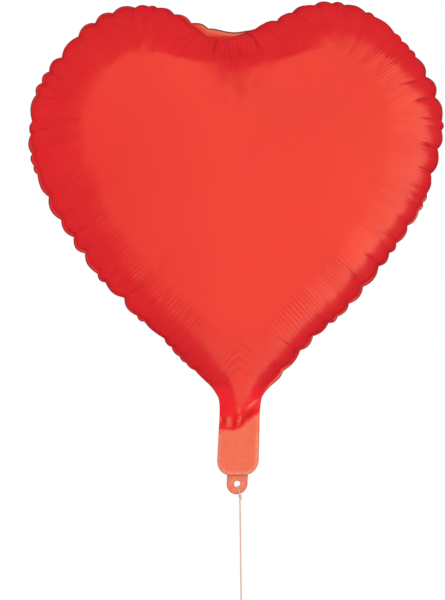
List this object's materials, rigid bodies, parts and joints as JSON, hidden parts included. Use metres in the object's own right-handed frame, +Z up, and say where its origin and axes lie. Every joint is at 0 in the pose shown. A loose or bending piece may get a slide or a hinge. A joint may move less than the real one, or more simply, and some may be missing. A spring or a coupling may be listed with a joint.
{
  "type": "heart-shaped foil balloon",
  "caption": "Gas-filled heart of two welded foil panels, with a flat filling tail, a self-sealing film valve, a tie tab and a knotted string.",
  "frame": {"origin": "centre of the gas space, on the plane of the weld between the two panels", "axes": "+Z up, from the tail to the lobes; -Y towards the viewer of the front panel; +X to the viewer's right"},
  "size_m": [0.3898, 0.1814, 0.6297],
  "materials": {
    "red_foil": "satin metallised film, red",
    "tail_foil": "flat metallised film, light red",
    "valve_film": "translucent polyethylene film",
    "string_fibre": "twisted fibre, pale pink-beige"
  },
  "bodies": {
    "envelope": {"front_panel": "red_foil", "rear_panel": "red_foil", "valve_rear_film": "valve_film"},
    "valve_flap": {"valve_front_film": "valve_film"},
    "tail": {"tail_front_ply": "tail_foil", "tail_rear_ply": "tail_foil", "inlet_front_film": "valve_film", "inlet_rear_film": "valve_film"},
    "tab": {"tie_tab": "tail_foil", "string_loop": "string_fibre"},
    "knot": {"string_knot": "string_fibre"},
    "strand": {"string": "string_fibre", "end_knot": "string_fibre", "hand_loop": "string_fibre"}
  },
  "joints": [
    {"name": "valve_open", "type": "hinge", "parent": "envelope", "child": "valve_flap", "pos_m": [-0.00201, -0.00035, -0.2598], "axis": [1, 0, 0], "range_deg": [0, 5], "stiffness_Nm_per_rad": 0.0005},
    {"name": "tail_fold", "type": "hinge", "parent": "envelope", "child": "tail", "pos_m": [-0.00201, 0, -0.2622], "axis": [1, 0, 0], "range_deg": [-60, 60], "stiffness_Nm_per_rad": 0.002},
    {"name": "tab_fold", "type": "hinge", "parent": "tail", "child": "tab", "pos_m": [-0.00348, 0.00115, -0.2917], "axis": [1, 0, 0], "range_deg": [-45, 45], "stiffness_Nm_per_rad": 0.001},
    {"name": "string_sway", "type": "hinge", "parent": "tab", "child": "knot", "pos_m": [-0.0014, 0.00115, -0.3118], "axis": [0, 1, 0], "range_deg": [-60, 60]},
    {"name": "string_swing", "type": "hinge", "parent": "knot", "child": "strand", "pos_m": [-0.0014, 0.00115, -0.3118], "axis": [1, 0, 0], "range_deg": [-40, 40]}
  ]
}
